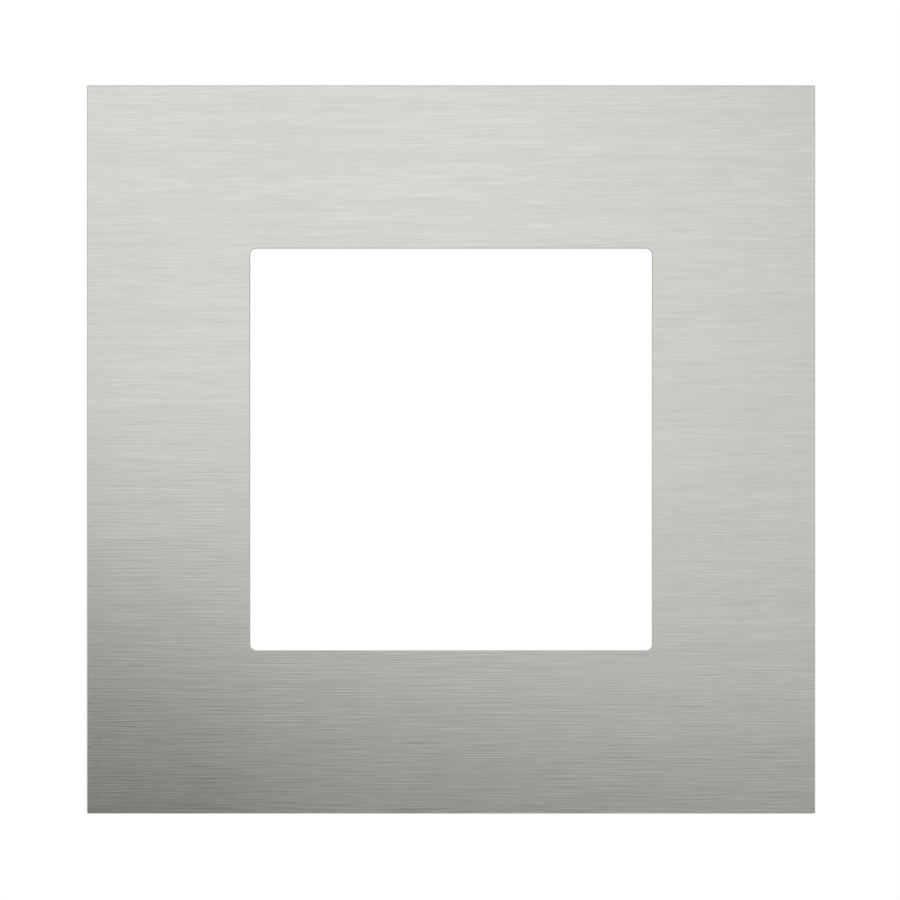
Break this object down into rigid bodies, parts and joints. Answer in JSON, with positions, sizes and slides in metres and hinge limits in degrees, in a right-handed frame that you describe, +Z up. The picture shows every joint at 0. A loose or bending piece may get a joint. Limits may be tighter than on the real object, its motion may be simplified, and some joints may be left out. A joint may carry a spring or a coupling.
{
  "type": "wall switch surround frame",
  "caption": "Square surround frame for a wall switch: flat brushed stainless steel plate with a square opening, taped to a white moulded carrier with toothed snap arms.",
  "frame": {"origin": "centre of the square opening, on the wall plane behind the carrier's skirt", "axes": "as it hangs on the wall: +X right, +Z up, +Y into the wall; the steel front faces -Y"},
  "size_m": [0.082, 0.009, 0.082],
  "materials": {
    "brushed_steel": "fine horizontal brushed grain, satin",
    "adhesive": "matt translucent double-sided tape",
    "white_moulding": "satin moulded white, unpainted"
  },
  "bodies": {
    "root": {"front_plate": "brushed_steel", "bonding_tape": "adhesive", "carrier_frame": "white_moulding"}
  },
  "joints": []
}
